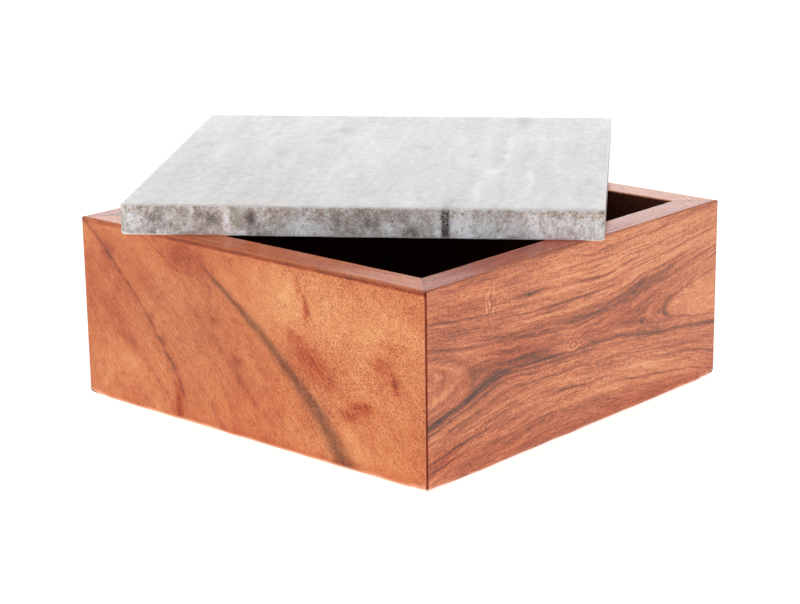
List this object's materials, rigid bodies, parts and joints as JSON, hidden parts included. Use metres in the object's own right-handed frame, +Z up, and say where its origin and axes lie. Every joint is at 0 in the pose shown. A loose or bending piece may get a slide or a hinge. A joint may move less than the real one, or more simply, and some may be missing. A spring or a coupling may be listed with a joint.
{
  "type": "spice box",
  "caption": "Square mitred wooden box for spices or salt, with a loose flat stone lid that lies turned on its rim and lifts off.",
  "frame": {"origin": "centre of the box's underside, on the bottom panel's lower face", "axes": "+Z up, front wall at -Y, right wall at +X; the picture looks at the front left corner"},
  "size_m": [0.2154, 0.2154, 0.072],
  "materials": {
    "streaked_wood": "oiled red-brown hardwood with dark streaks",
    "golden_wood": "oiled orange-brown hardwood",
    "panel_wood": "oiled hardwood",
    "spline_wood": "bare sawn hardwood",
    "marble": "honed grey-white marble"
  },
  "bodies": {
    "box": {"front_wall": "streaked_wood", "right_wall": "golden_wood", "back_wall": "streaked_wood", "left_wall": "golden_wood", "bottom_panel": "panel_wood", "front_left_spline": "spline_wood", "front_right_spline": "spline_wood", "back_right_spline": "spline_wood", "back_left_spline": "spline_wood"},
    "lid": {"stone_lid": "marble"}
  },
  "joints": [
    {"name": "lid_lift", "type": "slide", "parent": "box", "child": "lid", "axis": [0, 0, 1], "range_m": [0, 0.1]}
  ]
}
